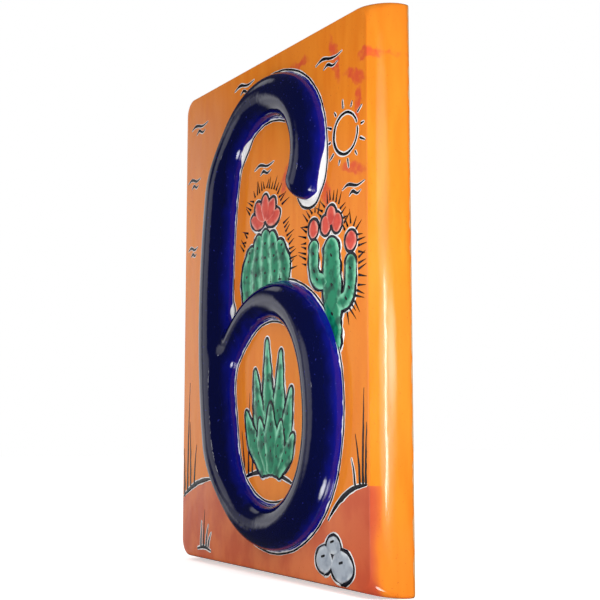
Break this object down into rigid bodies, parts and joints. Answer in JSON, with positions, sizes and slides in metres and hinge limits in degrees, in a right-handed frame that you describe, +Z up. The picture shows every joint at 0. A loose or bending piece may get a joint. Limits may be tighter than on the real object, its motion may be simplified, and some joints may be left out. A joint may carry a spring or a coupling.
{
  "type": "house number plaque",
  "caption": "Glazed relief tile with a raised half-round house number six, rounded edges and a flat bare back for bedding on a wall.",
  "frame": {"origin": "middle of the tile's flat back, in the plane of the wall", "axes": "+Z up as the number is read, +X to the reader's right, +Y into the wall; the glazed face looks along -Y"},
  "size_m": [0.0764, 0.0137, 0.108],
  "materials": {
    "glaze": "glossy painted glaze on the face and edges, bare clay on the back"
  },
  "bodies": {
    "root": {"number_tile": "glaze"}
  },
  "joints": []
}
